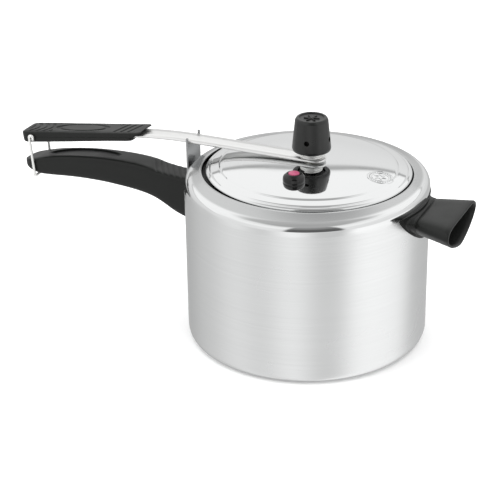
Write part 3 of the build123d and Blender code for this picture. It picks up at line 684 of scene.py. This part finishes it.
# bright zinc over drawn wire: a pale coating, so it reads whiter and softer than bare metal
wire_zinc, tree, shader = new_material("bright_zinc_wire")
shader.inputs["Base Color"].default_value = linear("#F4F4F2")
shader.inputs["Metallic"].default_value = 0.75
tree.links.new(wear(tree, 2.5, 0.30, 0.42), shader.inputs["Roughness"])
BAIL_TOP = BOW_END + OUT * 98.0 + UP * -2.4
BAIL_LOW = Vector((-259.4, 0, 103.4))


def smooth_path(corners, radius, steps=7):
    """Straight runs joined by round bends of one radius."""
    path = [Vector(corners[0])]
    for before, here, after in zip(corners, corners[1:], corners[2:]):
        here = Vector(here)
        back, ahead = (Vector(before) - here), (Vector(after) - here)
        start, finish = here + back.normalized() * radius, here + ahead.normalized() * radius
        for k in range(steps + 1):
            t = k / steps
            path.append((1 - t) ** 2 * start + 2 * t * (1 - t) * here + t * t * finish)
    return path + [Vector(corners[-1])]


def wire_mesh(name, path, radius, sides=20):
    """A round wire along a path."""
    rings, across = [], None
    for i, point in enumerate(path):
        forward = (path[min(i + 1, len(path) - 1)] - path[max(i - 1, 0)]).normalized()
        guide = across or Vector((1, 0, 0.2))
        across = (guide - forward * guide.dot(forward)).normalized()
        upward = forward.cross(across)
        rings.append([tuple(point + (across * math.cos(a) + upward * math.sin(a)) * radius)
                      for a in (2 * math.pi * k / sides for k in range(sides))])
    return lofted(name, rings)


top_x, top_z = BAIL_TOP.x, BAIL_TOP.z
hook = [(top_x + 3.4, top_z + 0.4), (top_x + 3.4, top_z + 4.4), (top_x - 0.4, top_z + 4.4)]
bail = wire_mesh("bail_wire", smooth_path(
    [(x, -BAIL_HALF, z) for x, z in hook]
    + [(BAIL_LOW.x, -BAIL_HALF, BAIL_LOW.z), (BAIL_LOW.x, BAIL_HALF, BAIL_LOW.z)]
    + [(x, BAIL_HALF, z) for x, z in reversed(hook)], 1.8), WIRE_R)
PIN_R, PIN_REACH = 1.15, (10.6, 12.6, 14.6)
pins = [wire_mesh("bail_pin_" + label, [Vector((top_x, side * d, top_z)) for d in PIN_REACH], PIN_R)
        for label, side in (("near", -1), ("far", 1))]
for part in [bail] + pins:
    part.data.materials.append(wire_zinc)
    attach(part, "bail")
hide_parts("bail")

# ---------------------------------------------------------------------------------------------
# Lid: pressed aluminium disc, its dome buffed to a mirror, with a stepped ring outside it and a
# flange below that carries the gasket. It is slightly oval, like the mouth it passes through.
LID_X, LID_RINGS = 1.4, 256
DOME_TOP, DOME_R, LID_THICK = 156.4, 73.0, 1.8
DOME_SQUARE, DOME_FOURTH = 3.8e-4, 7.16e-8
LID_OVAL = (1.021, 0.965)

# pressed aluminium, mirror buffed: sharp reflections that swim a little over the pressing
mirror_metal, tree, shader = new_material("pressed_aluminium_mirror")
shader.inputs["Base Color"].default_value = linear("#E4E5E5")
shader.inputs["Metallic"].default_value = 1.0
tree.links.new(wear(tree, 30, 0.03, 0.06), shader.inputs["Roughness"])
bump(tree, shader, wear(tree, 26, 0.0, 1.0, 1.0), 0.03, 0.15)


def dome(r):
    """Height of the dome's outer face, r mm from the middle of the lid."""
    return DOME_TOP - DOME_SQUARE * r * r - DOME_FOURTH * r ** 4


top_side = [(r, dome(r)) for r in (DOME_R * k / 40 for k in range(41))]
ring_side = rounded([
    (73.2, 152.2, 0), (74.1, 151.4, 0.8), (75.6, 151.2, 1.6), (81.2, 149.9, 2.4), (82.2, 148.9, 0.7),
    (83.2, 148.8, 0.6), (85.2, 148.0, 1.9), (85.2, 137.7, 1.4), (93.0, 137.6, 0), (93.0, 135.8, 0)], 6)
under_side = rounded([
    (93.0, 135.8, 0), (83.4, 135.8, 2), (83.4, 147.0, 1), (80.6, 148.2, 1), (75.0, 149.9, 0)], 4)
under_side += [(r, dome(r) - LID_THICK) for r in (70, 60, 40, 20, 0)]
lid = spun("lid_shell", top_side + ring_side + under_side[1:], (0, 0), LID_RINGS)
for vertex in lid.data.vertices:
    vertex.co.x = vertex.co.x * LID_OVAL[0] + LID_X * MM
    vertex.co.y *= LID_OVAL[1]
lid.data.materials.append(mirror_metal)
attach(lid, "lid")
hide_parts("lid_disc")

# ---------------------------------------------------------------------------------------------
# Gasket and seals: moulded black rubber. The gasket lies on the lid's flange, and the seal closes
# the vent tube's hole in the lid.

# moulded rubber: black and matt, no clear highlight
rubber, tree, shader = new_material("moulded_rubber_matt")
shader.inputs["Base Color"].default_value = linear("#0E0E0E")
tree.links.new(wear(tree, 6, 0.55, 0.7), shader.inputs["Roughness"])
for name in ("gasket", "vent_seal"):
    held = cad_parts[name]
    held.data.materials.clear()
    held.data.materials.append(rubber)

# ---------------------------------------------------------------------------------------------
# Vent tube, its nut and the regulator's needle: turned brass, nickel-plated. The short coil that
# steadies the bar is spring wire, wound round the tube.

# nickel plate over turned brass: bright and very slightly warm
nickel, tree, shader = new_material("nickel_plated_brass")
shader.inputs["Base Color"].default_value = linear("#D8D6CF")
shader.inputs["Metallic"].default_value = 1.0
tree.links.new(wear(tree, 3, 0.14, 0.24), shader.inputs["Roughness"])
VENT_X = 4.0
tube_side = [(1.4, 147), (4.4, 147), (4.9, 147.6), (4.9, 156.4), (6.0, 156.45), (6.0, 157.0), (4.25, 157.05)]
tube_side += [(4.25 - 0.35 * (k % 2), 157.6 + 0.5 * k) for k in range(20)]
tube_side += [(4.25, 168.0), (4.25, 174.0), (3.0, 176.0), (1.4, 176.0)]
tube = spun("vent_pipe", tube_side, (VENT_X, 0), 48)
tube.data.materials.append(nickel)
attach(tube, "lid")
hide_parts("vent_tube")
for name in ("vent_nut", "regulator_needle"):
    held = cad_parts[name]
    held.data.materials.clear()
    held.data.materials.append(nickel)


def sweep(tree, curve, outline):
    """A tube along a curve."""
    curves = {"Curve": curve.outputs[0], "Profile Curve": outline.outputs[0]}
    return node(tree, "GeometryNodeCurveToMesh", curves)


def end_tree(tree, shape, finish):
    """Smooth a tree's shape, realize its instances, set its material and put it out."""
    even = node(tree, "GeometryNodeSetShadeSmooth", {"Geometry": shape.outputs[0]})
    real = node(tree, "GeometryNodeRealizeInstances", {"Geometry": even.outputs[0]})
    painted = node(tree, "GeometryNodeSetMaterial", {"Geometry": real.outputs[0]})
    painted.inputs["Material"].default_value = finish
    tree.links.new(painted.outputs[0], tree.nodes.new("NodeGroupOutput").inputs[0])


COIL_SIZES = (
    ("Turns", 2.3), ("Coil radius", 8.6 * MM), ("Wire radius", 0.95 * MM), ("Rise", 4.2 * MM),
    ("Base height", 160.75 * MM), ("Centre across", VENT_X * MM))
coil_tree = bpy.data.node_groups.new("wound_coil", "GeometryNodeTree")
coil_tree.interface.new_socket("Geometry", in_out="OUTPUT", socket_type="NodeSocketGeometry")
for label, value in COIL_SIZES:
    socket = coil_tree.interface.new_socket(label, in_out="INPUT", socket_type="NodeSocketFloat")
    socket.default_value = value
given = coil_tree.nodes.new("NodeGroupInput").outputs
spiral = node(coil_tree, "GeometryNodeCurveSpiral", {
    "Rotations": given["Turns"], "Start Radius": given["Coil radius"], "End Radius": given["Coil radius"],
    "Height": given["Rise"]}, Resolution=40)
ring = node(coil_tree, "GeometryNodeCurvePrimitiveCircle", {"Radius": given["Wire radius"]}, Resolution=14)
swept = sweep(coil_tree, spiral, ring)
swept.inputs["Fill Caps"].default_value = True
lift = node(coil_tree, "ShaderNodeCombineXYZ", {"X": given["Centre across"], "Z": given["Base height"]})
moved = node(coil_tree, "GeometryNodeTransform", {
    "Geometry": swept.outputs[0], "Translation": lift.outputs[0]})
end_tree(coil_tree, moved, wire_zinc)


def grown(name, tree, sizes=()):
    """Run a node tree on an empty mesh and keep the result as a plain mesh object."""
    holder = bpy.data.objects.new(name, bpy.data.meshes.new(name + "_seed"))
    bpy.context.scene.collection.objects.link(holder)
    modifier = holder.modifiers.new("made", "NODES")
    modifier.node_group = tree
    sockets = {item.name: item.identifier for item in tree.interface.items_tree if item.in_out == "INPUT"}
    for label, value in sizes:
        modifier[sockets[label]] = value
    made = bpy.data.meshes.new_from_object(holder.evaluated_get(bpy.context.evaluated_depsgraph_get()))
    holder.modifiers.clear()
    holder.data = made
    return holder


spring = grown("bar_coil", coil_tree)
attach(spring, "lever")
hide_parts("bar_spring")

# ---------------------------------------------------------------------------------------------
# Emblem: a plain ring of beads round a six-rayed star, struck into the lid from below on the
# helper side, so it stands up in the same mirror-bright aluminium.
EMBLEM_INPUTS = (
    ("Lid", "NodeSocketObject", None), ("Outer radius", "NodeSocketFloat", 10.6 * MM),
    ("Line radius", "NodeSocketFloat", 0.42 * MM), ("Bead radius", "NodeSocketFloat", 0.62 * MM),
    ("Beads", "NodeSocketInt", 26), ("Centre across", "NodeSocketFloat", 66.8 * MM),
    ("Centre along", "NodeSocketFloat", -5.0 * MM))
RING_SHARES, STAR_SHARES, BEAD_SHARE = (1.0, 0.66), (0.2, 0.48), 0.83  # of the outer radius
ABOVE_LID = 0.3
emblem_tree = bpy.data.node_groups.new("struck_emblem", "GeometryNodeTree")
emblem_tree.interface.new_socket("Geometry", in_out="OUTPUT", socket_type="NodeSocketGeometry")
for label, kind, value in EMBLEM_INPUTS:
    socket = emblem_tree.interface.new_socket(label, in_out="INPUT", socket_type=kind)
    if value is not None:
        socket.default_value = value
given = emblem_tree.nodes.new("NodeGroupInput").outputs
line = node(emblem_tree, "GeometryNodeCurvePrimitiveCircle", {"Radius": given["Line radius"]}, Resolution=10)
parts = []
for share in RING_SHARES:
    reach = math_node(emblem_tree, "MULTIPLY", given["Outer radius"], share)
    circle = node(emblem_tree, "GeometryNodeCurvePrimitiveCircle", {"Radius": reach}, Resolution=96)
    parts.append(sweep(emblem_tree, circle, line))
star = node(emblem_tree, "GeometryNodeCurveStar", {
    "Inner Radius": math_node(emblem_tree, "MULTIPLY", given["Outer radius"], STAR_SHARES[0]),
    "Outer Radius": math_node(emblem_tree, "MULTIPLY", given["Outer radius"], STAR_SHARES[1])}, Points=6)
fine_star = node(emblem_tree, "GeometryNodeResampleCurve", {"Curve": star.outputs[0]}, Count=96)
parts.append(sweep(emblem_tree, fine_star, line))
seats = node(emblem_tree, "GeometryNodeMeshCircle", {
    "Vertices": given["Beads"],
    "Radius": math_node(emblem_tree, "MULTIPLY", given["Outer radius"], BEAD_SHARE)})
bead = node(emblem_tree, "GeometryNodeMeshUVSphere", {"Radius": given["Bead radius"]}, Segments=14, Rings=8)
parts.append(node(emblem_tree, "GeometryNodeInstanceOnPoints", {
    "Points": seats.outputs[0], "Instance": bead.outputs[0]}))
joined = emblem_tree.nodes.new("GeometryNodeJoinGeometry")
for part in parts:
    emblem_tree.links.new(part.outputs[0], joined.inputs[0])
# the beads are made real first, because the drape moves points and not instances
loose = node(emblem_tree, "GeometryNodeRealizeInstances", {"Geometry": joined.outputs[0]})
shift = node(emblem_tree, "ShaderNodeCombineXYZ", {"X": given["Centre across"], "Y": given["Centre along"]})
placed = node(emblem_tree, "GeometryNodeTransform", {
    "Geometry": loose.outputs[0], "Translation": shift.outputs[0]})
position = emblem_tree.nodes.new("GeometryNodeInputPosition")
at_point = node(emblem_tree, "ShaderNodeSeparateXYZ", {0: position.outputs[0]})
source = node(emblem_tree, "ShaderNodeCombineXYZ", {
    "X": at_point.outputs[0], "Y": at_point.outputs[1], "Z": ABOVE_LID})
lid_shape = node(emblem_tree, "GeometryNodeObjectInfo", {"Object": given["Lid"]})
hit = node(emblem_tree, "GeometryNodeRaycast", {
    "Target Geometry": lid_shape.outputs["Geometry"], "Source Position": source.outputs[0],
    "Ray Direction": (0.0, 0.0, -1.0), "Ray Length": 1.0})
ground = node(emblem_tree, "ShaderNodeSeparateXYZ", {0: hit.outputs["Hit Position"]})
rise = node(emblem_tree, "ShaderNodeCombineXYZ", {"Z": ground.outputs["Z"]})
draped = node(emblem_tree, "GeometryNodeSetPosition", {
    "Geometry": placed.outputs[0], "Offset": rise.outputs[0]})
end_tree(emblem_tree, draped, mirror_metal)
emblem = grown("lid_emblem", emblem_tree, (("Lid", lid),))
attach(emblem, "lid")

# ---------------------------------------------------------------------------------------------
# Safety valve: glossy black rubber dome buttoned through the lid, with a red relief button in it.
# The dome's neck sits in the lid's hole, and the button's stem runs down through its middle.
SAFETY_AT = (6.5, -43.0)

# glossy silicone rubber: black with small sharp highlights
gloss_rubber, tree, shader = new_material("silicone_rubber_gloss")
shader.inputs["Base Color"].default_value = linear("#0B0A0A")
tree.links.new(wear(tree, 5, 0.06, 0.12), shader.inputs["Roughness"])
plug = spun("safety_dome", rounded([
    (1.7, 149.6, 0), (7.0, 149.6, 0.8), (7.0, 152.3, 0.8), (4.0, 152.5, 0.4), (4.0, 154.4, 0.4),
    (8.6, 154.3, 0.5), (9.2, 156.2, 1.2), (8.9, 159.6, 3.0), (6.2, 162.0, 2.0), (5.0, 162.1, 0.5),
    (4.8, 160.8, 0.4), (1.7, 160.7, 0)], 6), SAFETY_AT, 72)
plug.data.materials.append(gloss_rubber)
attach(plug, "lid")
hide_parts("safety_plug")

# red silicone: a muted crimson with a soft highlight
red_button, tree, shader = new_material("red_silicone_gloss")
shader.inputs["Base Color"].default_value = linear("#9C4462")
tree.links.new(wear(tree, 2, 0.25, 0.4), shader.inputs["Roughness"])
stem_side = [(0, 146.4), (1.6, 146.4), (1.6, 160.8)]
head_side = rounded([
    (4.4, 160.8, 0.2), (4.6, 161.2, 0.3), (4.5, 162.6, 1.2), (0.01, 163.1, 0), (0, 163.1, 0)], 5)
pin = spun("relief_button", stem_side + head_side, SAFETY_AT, 48)
pin.data.materials.append(red_button)
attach(pin, "relief")
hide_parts("relief_pin")

# ---------------------------------------------------------------------------------------------
# Regulator: a turned steel weight inside a satin phenolic cap with four steam holes. The cap's
# dished top carries three plain raised bars.

# phenolic, satin from the mould: black with broad soft highlights down the cap's side
satin, tree, shader = new_material("phenolic_satin")
shader.inputs["Base Color"].default_value = linear("#141514")
shader.inputs["Specular IOR Level"].default_value = 0.5
fine_at = node(tree, "ShaderNodeTexCoord").outputs["Object"]
fine = node(tree, "ShaderNodeTexNoise", {"Vector": fine_at}, Scale=1 / (0.35 * MM), Detail=2.0).outputs[0]
tree.links.new(wear(tree, 9, 0.27, 0.34), shader.inputs["Roughness"])
bump(tree, shader, fine, 0.02, 0.3)

cap_side = rounded([
    (12.05, 166.3, 0), (15.9, 166.3, 0.8), (16.3, 168.4, 1.2), (13.85, 192.6, 2.2), (12.6, 194.8, 1.6),
    (10.6, 194.7, 0.4), (10.3, 193.7, 0.3), (6.0, 193.5, 4.0), (0.01, 193.4, 0), (0, 193.4, 0)], 6)
cap_side += [(0, 187.6), (12.05, 187.6)]
cap = spun("regulator_cover", cap_side, (VENT_X, 0), 128)
HOLE_Z, HOLE_R, FIRST_HOLE, DRILL_REACH = 176.8, 2.2, -83, (11.0, 15.0, 19.0)
cutters = []
for quarter in range(4):
    a = math.radians(FIRST_HOLE + 90 * quarter)
    outward = Vector((math.cos(a), math.sin(a), 0))
    centre = Vector((VENT_X, 0, HOLE_Z))
    cutters.append(wire_mesh(f"drill_{quarter}", [centre + outward * d for d in DRILL_REACH], HOLE_R, 32))
for cutter in cutters:
    cut = cap.modifiers.new(cutter.name, "BOOLEAN")
    cut.operation = "DIFFERENCE"
    cut.solver = "EXACT"
    cut.object = cutter
drilled = bpy.data.meshes.new_from_object(cap.evaluated_get(bpy.context.evaluated_depsgraph_get()))
cap.modifiers.clear()
cap.data = drilled
for cutter in cutters:
    bpy.data.objects.remove(cutter)
cap.data.set_sharp_from_angle(angle=math.radians(40))
cap.data.materials.clear()
cap.data.materials.append(satin)
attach(cap, "regulator")
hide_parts("regulator_cap")

# steel weight coloured dark and dull as painted shade: it stands for the shade inside the cap, so the steam
# holes look black
hole_shade_steel, tree, shader = new_material("steel_painted_dark_for_hole_shade")
shader.inputs["Base Color"].default_value = linear("#1A1A1A")
shader.inputs["Metallic"].default_value = 0.6
tree.links.new(wear(tree, 4, 0.5, 0.6), shader.inputs["Roughness"])

MARK_AT, MARK_REACH, MARK_R = Vector((VENT_X, 0, 193.75)), (-6.5, 0, 6.5), 0.75
marks = []
for turned_by in (0, 60, 120):
    a = math.radians(turned_by + 15)
    side = Vector((math.cos(a), math.sin(a), 0))
    marks.append(wire_mesh(f"cap_mark_{turned_by}", [MARK_AT + side * d for d in MARK_REACH], MARK_R, 16))
for mark in marks:
    mark.data.materials.append(satin)
    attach(mark, "regulator")
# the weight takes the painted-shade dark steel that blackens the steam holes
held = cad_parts["regulator_weight"]
held.data.materials.clear()
held.data.materials.append(hole_shade_steel)
